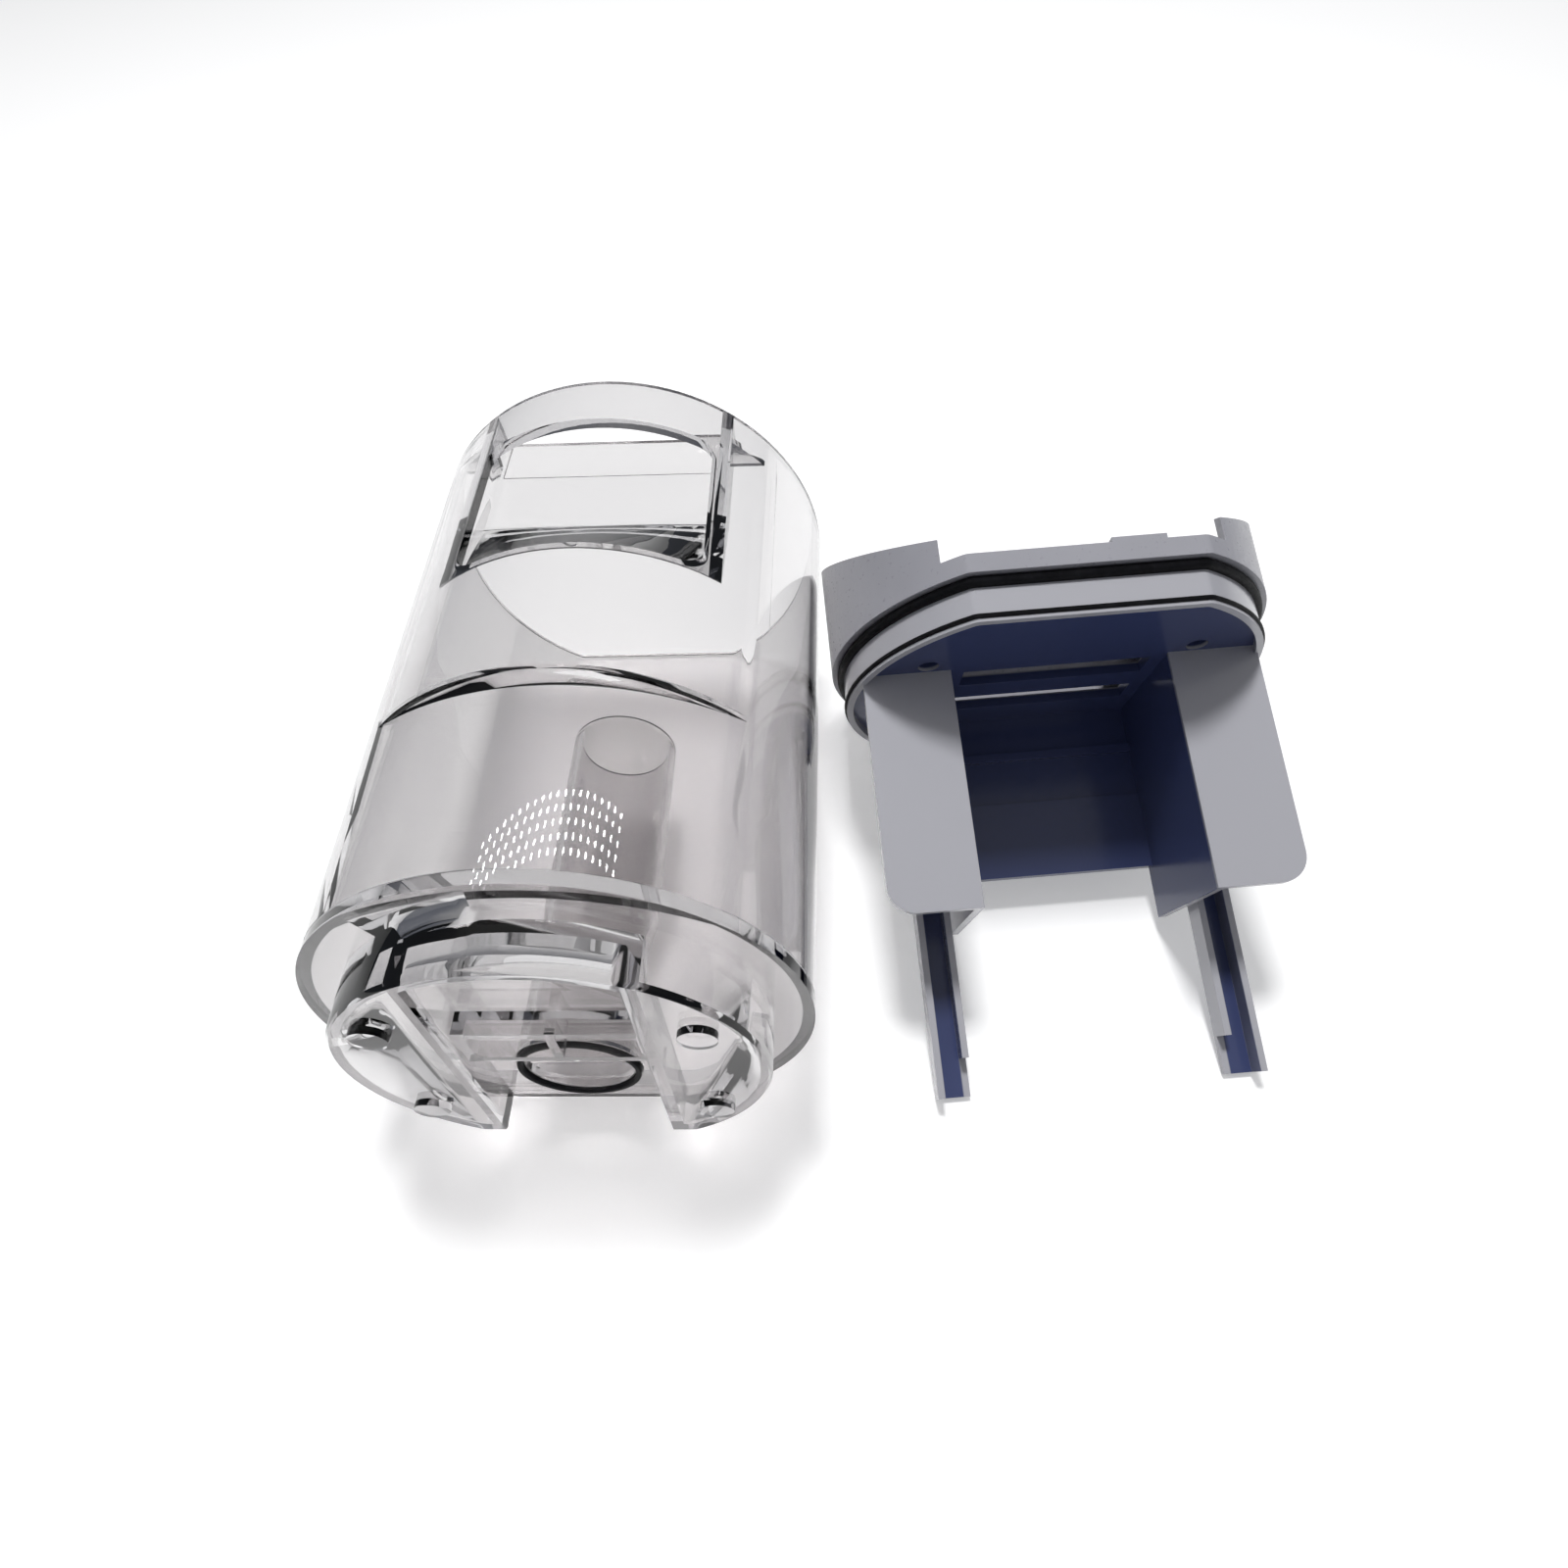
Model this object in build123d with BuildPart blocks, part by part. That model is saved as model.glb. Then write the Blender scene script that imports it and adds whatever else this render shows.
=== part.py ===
"""Dirty water tank of an upright floor cleaner, lying on its flat back, with its lid insert beside it.

Millimetres, +Z up. The tank's axis runs along Y with the rim at +Y and the handle window on top.
The origin is the middle of the flat back, on the surface that the tank lies on.
"""
import os
from math import atan2, cos, radians, sin, sqrt, tan

from build123d import *

# Tank body: a drafted tube with a flat back
base_radius = 50.0
draft = 2.0
body_length = 138.4
wall = 2.5
back_cut = 4.5
back_corner = 3.0
rim_bevel = 0.6

# Grip panel: the front flattened to a larger radius, under a crescent ledge
panel_height = 43.5
panel_depth = 4.0
panel_radius = 65.0

# Handle window and the finger pocket behind it
window_low = 79.0
window_high = 122.6
window_width = 54.0
window_corner_low = 5.5
window_corner_high = 4.0
pocket_depth = 17.0
pocket_side = 0.4
pocket_lip = 1.0
pocket_bend = 105.0
rebate_drop = 13.0
rebate_depth = 0.8
gusset_thickness = 2.0
gusset_reach = 9.0
plug_seat_gap = 0.2

# Tank base: a flange, a stepped boss and a channel open to the back
flange_thickness = 3.0
boss_step = 8.15
boss_height = 11.5
boss_cut = 7.35
boss_bevel = 0.8
floor_thickness = 2.5
channel_width = 36.8
channel_depth = 8.2
foot_radius = 3.75
foot_height = 1.5
foot_across = 59.0
foot_apart = 36.0

# Latch block in the channel: two open cells with a rib between them
latch_near = 3.5
latch_length = 13.0
latch_height = 4.7
latch_wall = 2.0
latch_cell_depth = 3.4

# Inlet port and the riser duct behind it
port_radius = 11.5
port_offset = 18.3
duct_wall = 1.8
duct_rise = 86.0
port_seal_width = 1.5
port_seal_height = 1.2
port_seal_clearance = 0.3
slide_gap = 0.1

# Lid cover: the grey skirt with its deck, its top slanting down to the flat side
cover_height = 30.0
cover_flat_height = 8.6
cover_slant = 23.3
cover_wall = 2.2
cover_inset = 0.2
deck_thickness = 2.2
notch_half_width = 30.0
notch_wall_height = 4.4
tab_centre = 11.0
tab_width = 11.6
tab_height = 1.1
outlet_width = 46.0
outlet_length = 13.0
outlet_offset = 21.5
outlet_lip = 2.0
outlet_lip_height = 3.0

# Lid seals
seal_thickness = 2.2
seal_proud = 1.5
seal_land = 2.6
lip_thickness = 1.0
lip_proud = 0.5
lip_seat = 0.8
lip_level = 0.8

# Lid base: plug band, underside plate, hat-section baffle and two rail legs
plug_gap = 0.4
plug_height = 7.8
band_wall = 2.2
rim_wall = 0.8
underside_recess = 2.0
underside_thickness = 2.5
baffle_wall = 2.0
wing_offset = 14.2
wing_half_width = 46.0
wing_length = 53.8
wing_corner = 6.5
web_half_spacing = 25.4
crown_offset = 21.8
crown_length = 41.0
crown_panel_start = 21.7
crown_panel_proud = 0.8
crown_rib_start = 8.0
crown_rib_width = 2.2
crown_rib_proud = 1.2
slot_length = 8.2
slot_centres = (8.1, -7.7)
slot_side_land = 3.4
leg_length = 92.5
leg_inner = 29.4
leg_width = 8.0
leg_depth = 6.5
leg_wall = 1.6
leg_toe = 14.5
leg_step = 8.5

# Screws that hold the lid base to the cover
screw_across = 62.0
screw_offset = 17.2
screw_head_radius = 2.0
screw_head_height = 1.8
screw_shank_radius = 1.1
screw_sink = 2.6
screw_bite = 1.4
screw_clearance = 0.4
screw_boss_wall = 1.8

# Lid's place beside the tank
lid_gap = 3.2
lid_along = 12.1
lid_turn = 5.0

# Sizes that follow from the base
rim_radius = base_radius + draft
back_flat = base_radius - back_cut
boss_radius = base_radius - boss_step
boss_flat = boss_radius - boss_cut

# Planes: local x across, local y towards the flat back, local z along the axis
tank_plane = Plane(
    origin=(0, -body_length / 2 - flange_thickness, back_flat), x_dir=(1, 0, 0), z_dir=(0, 1, 0)
)
body_plane = tank_plane.offset(flange_thickness)
boss_face = tank_plane.offset(-boss_height)
port_level = channel_depth - boss_height
port_plane = tank_plane.offset(port_level)

# The lid lies clear of the tank's side, on the round front of its skirt and the toes of its legs
skirt_radius = rim_radius - cover_inset
skirt_flat = back_flat - cover_inset
lid_across = rim_radius + lid_gap + skirt_radius
seat_height = plug_height + seal_thickness
lid_lean = atan2(skirt_radius - leg_toe, seat_height + leg_length)
lid_height = skirt_radius * cos(lid_lean) - seat_height * sin(lid_lean)
lid_down = Vector(
    sin(radians(lid_turn)) * cos(lid_lean), -cos(radians(lid_turn)) * cos(lid_lean), -sin(lid_lean)
)
lid_plane = Plane(
    origin=(lid_across, lid_along, lid_height),
    x_dir=(cos(radians(lid_turn)), sin(radians(lid_turn)), 0),
    z_dir=lid_down,
)

far = 4 * rim_radius
pocket_back = rim_radius - pocket_depth
plug_radius = rim_radius - wall - plug_gap
plug_flat = back_flat - wall - plug_gap
plug_recess = pocket_back - wall - plug_gap
plug_recess_half_width = window_width / 2 + pocket_side + wall + plug_gap
spigot_step = seal_land - seal_proud


def d_outline(radius, flat, corner=back_corner):
    """A circle with a chord cut off towards the back, its two corners rounded."""
    Circle(radius)
    with Locations((0, flat + far / 2)):
        Rectangle(far, far, mode=Mode.SUBTRACT)
    fillet(vertices().group_by(Axis.Y)[-1], corner)


def plug_outline(inset):
    """The D outline of the plug, cut back at the front to clear the handle pocket."""
    d_outline(plug_radius - inset, plug_flat - inset)
    with Locations((0, inset - plug_recess - far / 2)):
        Rectangle(2 * (plug_recess_half_width + inset), far, mode=Mode.SUBTRACT)


def drafted_tube(inset):
    """The body's round form with its draft, inset from the outer surface, with its flat back."""
    bottom_up = (Align.CENTER, Align.CENTER, Align.MIN)
    with Locations(body_plane):
        Cone(base_radius - inset, rim_radius - inset, body_length, align=bottom_up)
    with BuildSketch(body_plane) as ahead_of_flat:
        with Locations((0, back_flat - inset - far / 2)):
            Rectangle(far, far)
    extrude(ahead_of_flat.sketch, amount=body_length, mode=Mode.INTERSECT)
    back_face = faces().sort_by(Axis.Z)[0]
    fillet(back_face.edges().sort_by(SortBy.LENGTH)[-2:], back_corner)


def grip_cut(radius, height):
    """Cuts the front away outside a larger radius, to flatten it up to a height."""
    with BuildSketch(body_plane) as outside_panel:
        with Locations((0, -far / 2)):
            Rectangle(far, far)
        with Locations((0, panel_radius + panel_depth - base_radius)):
            Circle(radius, mode=Mode.SUBTRACT)
    extrude(outside_panel.sketch, amount=height, mode=Mode.SUBTRACT)


def pocket_form(inset):
    """The finger pocket as a solid: a ruled floor from the window's curved lower edge down to a
    straight bend, then an upright back to the open rim. It is grown by an inset."""
    half_width = window_width / 2 + pocket_side + inset
    outer_radius = base_radius + draft * window_low / body_length
    lip_radius = outer_radius - wall - pocket_lip - inset
    lip_side = sqrt(lip_radius**2 - half_width**2)
    top = rim_radius + wall
    with BuildSketch(body_plane.offset(window_low)) as lip:
        with BuildLine():
            ThreePointArc((-half_width, -lip_side), (0, -lip_radius), (half_width, -lip_side))
            Polyline(
                (half_width, -lip_side), (half_width, -top), (-half_width, -top), (-half_width, -lip_side)
            )
        make_face()
    with BuildSketch(body_plane.offset(pocket_bend)) as bend:
        with Locations((0, (inset - pocket_back - top) / 2)):
            Rectangle(2 * half_width, top - pocket_back + inset)
    loft([lip.sketch, bend.sketch], ruled=True)
    extrude(bend.sketch, amount=body_length - pocket_bend)


# Finger pocket with its walls, and the open space inside it with the window through the front wall
with BuildPart() as pocket_block:
    pocket_form(wall)

with BuildPart() as pocket_shape:
    pocket_form(0)

with BuildPart() as pocket_space:
    drafted_tube(wall)
    with BuildSketch(Plane.XY.offset(back_flat + pocket_back)):
        with Locations((0, body_plane.origin.Y + (window_low + window_high) / 2)):
            Rectangle(window_width, window_high - window_low)
        fillet(vertices().group_by(Axis.Y)[0], window_corner_low)
        fillet(vertices().group_by(Axis.Y)[-1], window_corner_high)
    extrude(amount=far)
    add(pocket_shape.part, mode=Mode.INTERSECT)

# Water space: the inside of the tube, less the pocket and two gussets where the lid's plug stops
with BuildPart() as water_space:
    drafted_tube(wall)
    grip_cut(panel_radius - wall, panel_height + wall)
    add(pocket_block.part, mode=Mode.SUBTRACT)
    gusset_root = window_width / 2 + pocket_side + wall
    with BuildSketch(body_plane.offset(body_length - plug_height - plug_seat_gap)):
        with Locations((0, wall - pocket_back - far / 2)):
            with GridLocations(2 * gusset_root, 0, 2, 1):
                Rectangle(2 * gusset_reach, far)
    extrude(amount=-gusset_thickness, mode=Mode.SUBTRACT)
    # rebate in the inner face of the pocket's back, where the plug slides in
    with BuildSketch(body_plane.offset(body_length)):
        with Locations((0, wall - pocket_back)):
            Rectangle(window_width, 2 * rebate_depth)
    extrude(amount=-rebate_drop)

# Tank body
with BuildPart() as tank_body:
    drafted_tube(0)
    grip_cut(panel_radius, panel_height)
    chamfer(tank_body.faces().sort_by(Axis.Y)[-1].edges(), rim_bevel)
    add(water_space.part, mode=Mode.SUBTRACT)
    add(pocket_space.part, mode=Mode.SUBTRACT)
tank_body.part.label = "tank_body"

# Tank base
with BuildPart() as tank_base:
    with BuildSketch(tank_plane):
        d_outline(boss_radius, boss_flat)
    extrude(amount=-boss_height)
    chamfer(tank_base.faces().sort_by(Axis.Y)[0].edges(), boss_bevel)
    with BuildSketch(tank_plane):
        d_outline(base_radius, back_flat)
    extrude(amount=flange_thickness)
    with BuildSketch(boss_face.offset(floor_thickness)):
        d_outline(boss_radius - wall, boss_flat - wall)
    extrude(amount=far, mode=Mode.SUBTRACT)
    # channel across the boss, open below and at the back
    with BuildSketch(boss_face.offset(floor_thickness / 2)):
        d_outline(boss_radius - wall / 2, boss_flat - wall / 2)
        Rectangle(channel_width + 2 * wall, far, mode=Mode.INTERSECT)
    extrude(amount=channel_depth + wall - floor_thickness / 2)
    with BuildSketch(boss_face):
        Circle(boss_radius - wall)
        Rectangle(channel_width, far, mode=Mode.INTERSECT)
    extrude(amount=channel_depth, mode=Mode.SUBTRACT)
    # latch block with two cells
    with BuildSketch(port_plane):
        with Locations((0, latch_near - latch_length / 2)):
            Rectangle(channel_width, latch_length)
    extrude(amount=-latch_height)
    cell_width = (channel_width - 3 * latch_wall) / 2
    with BuildSketch(port_plane.offset(-latch_height)):
        with Locations((0, latch_near - latch_length / 2)):
            with GridLocations(cell_width + latch_wall, 0, 2, 1):
                Rectangle(cell_width, latch_length - 2 * latch_wall)
    extrude(amount=latch_cell_depth, mode=Mode.SUBTRACT)
    # hole for the duct
    with BuildSketch(port_plane):
        with Locations((0, port_offset)):
            Circle(port_radius + duct_wall + slide_gap)
    extrude(amount=far, mode=Mode.SUBTRACT)
    with BuildSketch(boss_face):
        with GridLocations(foot_across, foot_apart, 2, 2):
            Circle(foot_radius)
    extrude(amount=-foot_height)
tank_base.part.label = "tank_base"

# Inlet duct: a pipe through the port that rises inside the tank
with BuildPart() as inlet_duct:
    with BuildSketch(port_plane):
        with Locations((0, port_offset)):
            Circle(port_radius + duct_wall)
            Circle(port_radius, mode=Mode.SUBTRACT)
    extrude(amount=duct_rise)
inlet_duct.part.label = "inlet_duct"

# Inlet seal on the outer face of the port
with BuildPart() as inlet_seal:
    with BuildSketch(port_plane):
        with Locations((0, port_offset)):
            Circle(port_radius + port_seal_width)
            Circle(port_radius + port_seal_clearance, mode=Mode.SUBTRACT)
    extrude(amount=-port_seal_height)
inlet_seal.part.label = "inlet_seal"

# Lid cover: open tray with a deck, an outlet and a cut-down wall on the flat side
cover_top = seat_height + cover_height
deck_top = seat_height + deck_thickness
side_plane = Plane(origin=lid_plane.origin, x_dir=lid_plane.y_dir, z_dir=lid_plane.x_dir)
slant_run = 2 * skirt_radius
slant_rise = slant_run * tan(radians(cover_slant))
with BuildPart() as lid_cover:
    with BuildSketch(lid_plane.offset(-cover_top)):
        d_outline(skirt_radius, skirt_flat)
    extrude(amount=cover_height)
    with BuildSketch(lid_plane.offset(-cover_top)):
        d_outline(skirt_radius - cover_wall, skirt_flat - cover_wall)
    extrude(amount=cover_height - deck_thickness, mode=Mode.SUBTRACT)
    # top slanting from its full height down to the flat side
    with BuildSketch(side_plane):
        with BuildLine():
            Polyline(
                (skirt_flat + slant_run, slant_rise - seat_height - cover_flat_height),
                (skirt_flat - slant_run, -slant_rise - seat_height - cover_flat_height),
                (skirt_flat - slant_run, -far),
                (skirt_flat + slant_run, -far),
                close=True,
            )
        make_face()
    extrude(amount=far, both=True, mode=Mode.SUBTRACT)
    # notch in the flat wall, with a small tab standing on its edge
    with BuildSketch(lid_plane.offset(-cover_top)):
        with Locations((0, skirt_flat)):
            Rectangle(2 * notch_half_width, 4 * cover_wall + back_corner)
    extrude(amount=cover_height - notch_wall_height, mode=Mode.SUBTRACT)
    with BuildSketch(lid_plane.offset(-seat_height - notch_wall_height)):
        with Locations((tab_centre, skirt_flat - cover_wall / 2)):
            Rectangle(tab_width, cover_wall)
    extrude(amount=-tab_height)
    # raised lip and the outlet through the deck
    with BuildSketch(lid_plane.offset(-deck_top)):
        with Locations((0, -outlet_offset)):
            RectangleRounded(outlet_width + 2 * outlet_lip, outlet_length + 2 * outlet_lip, 2 * outlet_lip)
    extrude(amount=-outlet_lip_height)
    with BuildSketch(lid_plane.offset(-deck_top - outlet_lip_height)):
        with Locations((0, -outlet_offset)):
            RectangleRounded(outlet_width, outlet_length, outlet_lip)
    extrude(amount=far, mode=Mode.SUBTRACT)
    # pilot holes for the screws
    with BuildSketch(lid_plane.offset(-seat_height)):
        with Locations((0, screw_offset)):
            with GridLocations(screw_across, 0, 2, 1):
                Circle(screw_shank_radius)
    extrude(amount=-screw_bite, mode=Mode.SUBTRACT)
lid_cover.part.label = "lid_cover"

# Lid base
plate_high = underside_recess + underside_thickness
lip_high = lip_level + lip_thickness
head_seat = underside_recess + screw_sink + screw_head_height
leg_centre = leg_inner + leg_width / 2
wing_plane = Plane(
    origin=lid_plane.from_local_coords((0, wing_offset, 0)), x_dir=lid_plane.x_dir, z_dir=lid_plane.y_dir
)


def plug_layer(low, high, inset, mode=Mode.ADD):
    """One layer of the plug between two heights above the underside's edge."""
    with BuildSketch(lid_plane.offset(-high)) as layer:
        plug_outline(inset)
    extrude(layer.sketch, amount=high - low, mode=mode)


def screw_layer(low, high, radius, mode=Mode.ADD):
    """Round bosses, holes or screws at the two screw places, between two heights."""
    with BuildSketch(lid_plane.offset(-high)) as layer:
        with Locations((0, screw_offset)):
            with GridLocations(screw_across, 0, 2, 1):
                Circle(radius)
    extrude(layer.sketch, amount=high - low, mode=mode)


with BuildPart() as lid_base:
    # plug band with a groove for the lip, and a spigot inside the seal
    plug_layer(0, lip_level, 0)
    plug_layer(lip_level, lip_high, lip_seat)
    plug_layer(lip_high, plug_height, 0)
    plug_layer(plug_height, seat_height, spigot_step)
    plug_layer(plate_high, seat_height, spigot_step + band_wall, Mode.SUBTRACT)
    plug_layer(0, underside_recess, rim_wall + lip_seat, Mode.SUBTRACT)
    # two outlet slots in the underside, between the baffle's webs
    with BuildSketch(lid_plane.offset(-plate_high)):
        for slot_centre in slot_centres:
            with Locations((0, slot_centre)):
                Rectangle(2 * (web_half_spacing - slot_side_land), slot_length)
    extrude(amount=underside_thickness, mode=Mode.SUBTRACT)
    # bosses for the sunk screws
    screw_layer(plate_high, seat_height, screw_head_radius + screw_clearance + screw_boss_wall)
    screw_layer(underside_recess, head_seat, screw_head_radius + screw_clearance, Mode.SUBTRACT)
    screw_layer(head_seat, seat_height, screw_shank_radius + slide_gap, Mode.SUBTRACT)
    # wings that reach out to the tank's wall
    with BuildSketch(wing_plane):
        with Locations((0, (underside_recess - wing_length) / 2)):
            Rectangle(2 * wing_half_width, underside_recess + wing_length)
        fillet(vertices().group_by(Axis.Y)[0], wing_corner)
        Rectangle(2 * web_half_spacing, far, mode=Mode.SUBTRACT)
    extrude(amount=-baffle_wall)
    # webs and crown of the hat section
    with BuildSketch(lid_plane.offset(-underside_recess)):
        with Locations((0, (wing_offset - crown_offset - baffle_wall) / 2)):
            with GridLocations(2 * web_half_spacing + baffle_wall, 0, 2, 1):
                Rectangle(baffle_wall, wing_offset + crown_offset + baffle_wall)
    extrude(amount=underside_recess + wing_length)
    with BuildSketch(lid_plane.offset(-underside_recess)):
        with Locations((0, -crown_offset - baffle_wall / 2)):
            Rectangle(2 * web_half_spacing + baffle_wall, baffle_wall)
    extrude(amount=underside_recess + crown_length)
    with BuildSketch(lid_plane.offset(crown_panel_start)):
        with Locations((0, (crown_panel_proud - baffle_wall) / 2 - crown_offset)):
            Rectangle(2 * web_half_spacing + baffle_wall, baffle_wall + crown_panel_proud)
    extrude(amount=crown_length - crown_panel_start)
    with BuildSketch(lid_plane.offset(crown_rib_start)):
        with Locations((0, (crown_rib_proud - baffle_wall) / 2 - crown_offset)):
            Rectangle(2 * web_half_spacing + baffle_wall, baffle_wall + crown_rib_proud)
    extrude(amount=crown_rib_width)
    # rail legs: channels open towards the flat side, stepped at the inner toe
    with BuildSketch(lid_plane.offset(-underside_recess)):
        with Locations((0, leg_depth / 2 - leg_toe)):
            with GridLocations(2 * leg_centre, 0, 2, 1):
                Rectangle(leg_width, leg_depth)
        with Locations((0, leg_depth / 2 - leg_toe + leg_wall)):
            with GridLocations(2 * leg_centre, 0, 2, 1):
                Rectangle(leg_width - 2 * leg_wall, leg_depth, mode=Mode.SUBTRACT)
    extrude(amount=underside_recess + leg_length)
    with BuildSketch(lid_plane.offset(leg_length)):
        with Locations((0, leg_depth / 2 - leg_toe + leg_wall)):
            with GridLocations(2 * leg_inner + leg_wall, 0, 2, 1):
                Rectangle(leg_wall, leg_depth)
    extrude(amount=-leg_step, mode=Mode.SUBTRACT)
lid_base.part.label = "lid_base"

# Thick seal under the cover, round the spigot
with BuildPart() as lid_seal:
    plug_layer(plug_height, seat_height, -seal_proud)
    plug_layer(plug_height, seat_height, spigot_step - slide_gap, Mode.SUBTRACT)
lid_seal.part.label = "lid_seal"

# Thin lip in the plug's groove
with BuildPart() as plug_seal:
    plug_layer(lip_level, lip_high, -lip_proud)
    plug_layer(lip_level, lip_high, lip_seat - slide_gap, Mode.SUBTRACT)
plug_seal.part.label = "plug_seal"

# Sunk screws
with BuildPart() as lid_screws:
    screw_layer(head_seat - screw_head_height, head_seat, screw_head_radius)
    screw_layer(head_seat, seat_height + screw_bite, screw_shank_radius)
lid_screws.part.label = "lid_screws"

os.makedirs("parts", exist_ok=True)
for piece in (
    tank_body,
    tank_base,
    inlet_duct,
    inlet_seal,
    lid_cover,
    lid_base,
    lid_seal,
    plug_seal,
    lid_screws,
):
    export_step(piece.part, f"parts/{piece.part.label}.step")
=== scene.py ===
"""Looks of a clear dirty water tank lying on its flat back, with its grey lid insert beside it.

Metres, +Z up, in the part's own frame: the tank's axis runs along Y, its rim at +Y.
"""

from math import cos, hypot, pi, radians, sin, sqrt

import bmesh
import bpy
import numpy as np
from bpy.props import FloatProperty, FloatVectorProperty, IntProperty, PointerProperty
from mathutils import Matrix, Vector


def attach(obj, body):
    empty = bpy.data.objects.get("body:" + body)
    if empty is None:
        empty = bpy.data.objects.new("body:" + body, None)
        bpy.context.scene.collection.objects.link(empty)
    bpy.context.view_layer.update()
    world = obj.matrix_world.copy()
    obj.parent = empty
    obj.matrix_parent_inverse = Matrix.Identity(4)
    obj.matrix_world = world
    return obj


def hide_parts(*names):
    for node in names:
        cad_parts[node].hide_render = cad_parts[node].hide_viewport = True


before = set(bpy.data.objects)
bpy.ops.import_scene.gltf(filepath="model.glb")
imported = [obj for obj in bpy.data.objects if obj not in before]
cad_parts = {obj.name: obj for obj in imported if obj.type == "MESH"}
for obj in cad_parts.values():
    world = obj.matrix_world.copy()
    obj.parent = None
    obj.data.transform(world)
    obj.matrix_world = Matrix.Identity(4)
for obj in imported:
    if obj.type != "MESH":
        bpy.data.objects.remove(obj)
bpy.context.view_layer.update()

bl_info = {
    "name": "Dirty water tank looks",
    "version": (1, 0, 0),
    "blender": (4, 5, 0),
    "location": "View3D > Sidebar > Tank",
    "description": "Clear tank, grey lid insert and a pale stage around the packed solids",
    "category": "Object",
}

# Edges steeper than these stay sharp, on clear pieces and on moulded ones, or get a bevel.
CLEAR_SHARP = radians(20)
MOULDED_SHARP = radians(25)
BEVEL_FROM = radians(35)
# Points nearer than this are one point, and faces flatter than this are one face.
MERGE_DISTANCE = 2e-6
FLAT_ANGLE = radians(0.2)
# How near a point lies to the tube's surface, the lip's level or the pocket's floor that it belongs to.
ON_SURFACE = 1e-4
ON_LEVEL = 2e-5
ON_FLOOR = 8e-4
# Share of the pocket floor's run by which a point at the lip may lie before it.
LIP_SLACK = 1e-3
# Cosine above which a face looks the same way as the tube's surface.
SAME_WAY = 0.97
# Shortest vector that is divided by its length.
TINY = 1e-6


def length(name, description, default):
    """A length property in metres."""
    return FloatProperty(name=name, description=description, default=default, unit="LENGTH", precision=5)


def angle(name, description, default):
    """An angle property in radians."""
    return FloatProperty(name=name, description=description, default=default, unit="ROTATION")


def amount(name, description, default, low=0.0):
    """A property without a unit."""
    return FloatProperty(name=name, description=description, default=default, min=low)


def whole(name, description, default, low=1):
    """A whole-number property."""
    return IntProperty(name=name, description=description, default=default, min=low)


def point(name, description, default):
    """A point or direction property."""
    return FloatVectorProperty(name=name, description=description, default=default, subtype="XYZ")


def pair(name, description, default):
    """A property of two numbers between which something fades."""
    return FloatVectorProperty(name=name, description=description, default=default, size=2, precision=5)


def colour(name, description, default):
    """A linear colour property."""
    return FloatVectorProperty(
        name=name, description=description, default=default, size=3, subtype="COLOR", min=0.0, max=1.0
    )


class TankSettings(bpy.types.PropertyGroup):
    """Sizes and colours of the clear tank."""

    axis_height: length("Axis height", "Height of the tank's axis above the table", 0.0455)
    base_level: length("Base level", "Place along Y of the body's lower edge", -0.0692)
    body_length: length("Body length", "Length of the drafted tube", 0.1384)
    base_radius: length("Base radius", "Outer radius of the tube at its lower edge", 0.050)
    draft: length("Draft", "How much the radius grows from the lower edge to the rim", 0.002)
    wall: length("Wall", "Thickness of the tube's wall", 0.0025)
    panel_radius: length("Panel radius", "Outer radius of the flattened grip panel", 0.065)
    panel_depth: length("Panel depth", "How far the grip panel lies inside the tube", 0.004)
    lip_level: length("Lip level", "Place of the pocket's lip above the body's lower edge", 0.079)
    lip_radius: length("Lip radius", "Radius of the lip's free edge", 0.045142)
    lip_half_width: length("Lip half width", "Half the width of the pocket with its walls", 0.0299)
    lip_share: amount("Lip share", "Share of the lip's distance from the wall that is left", 0.1)
    bend_level: length("Bend level", "Place of the pocket's bend above the body's lower edge", 0.105)
    pocket_back: length("Pocket back", "Height of the pocket's back above the tank's axis", 0.035)
    weld_gap: length("Weld gap", "Hair gap that keeps touching clear pieces apart", 0.00005)
    tint: colour("Tint", "Colour of the clear plastic's surface", (0.81, 0.80, 0.80))
    depth_tint: colour("Depth tint", "Colour that thick plastic tends to", (0.21, 0.21, 0.24))
    depth_density: amount("Depth density", "Absorption per metre in the body", 38.0)
    base_density: amount("Base density", "Absorption per metre in the base and the pipe", 25.0)
    shade_tint: colour("Shade tint", "Light that each surface lets through", (0.73, 0.72, 0.72))
    ior: amount("Refraction", "Index of the tank's plastic", 1.5, low=1.0)
    pipe_ior: amount("Pipe refraction", "Index of the thin riser pipe", 1.35, low=1.0)


class InletSettings(bpy.types.PropertyGroup):
    """Sizes of the riser pipe and of the port's seal."""

    port_level: length("Port level", "Place along Y of the port's outer face", -0.0755)
    port_height: length("Port height", "Height of the port's axis above the table", 0.0272)
    bore_radius: length("Bore radius", "Inner radius of the pipe", 0.0115)
    pipe_wall: length("Pipe wall", "Thickness of the pipe's wall", 0.0018)
    rise: length("Rise", "Length of the whole pipe", 0.086)
    foot_round: length("Foot round", "Rounding of the pipe's edges at the port", 0.0004)
    end_round: length("End round", "Rounding of the pipe's edges at its upper end", 0.0007)
    seal_width: length("Seal width", "Reach of the port's seal outside the bore", 0.0015)
    seal_gap: length("Seal gap", "Gap between the bore and the seal", 0.0003)
    seal_height: length("Seal height", "How far the port's seal stands out", 0.0012)
    seal_foot_round: length("Seal foot round", "Rounding of the seal where it sits", 0.0002)
    seal_face_round: length("Seal face round", "Rounding of the seal's free face", 0.0005)
    round_steps: whole("Round steps", "Points round the pipe and its seal", 160, low=8)


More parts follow.
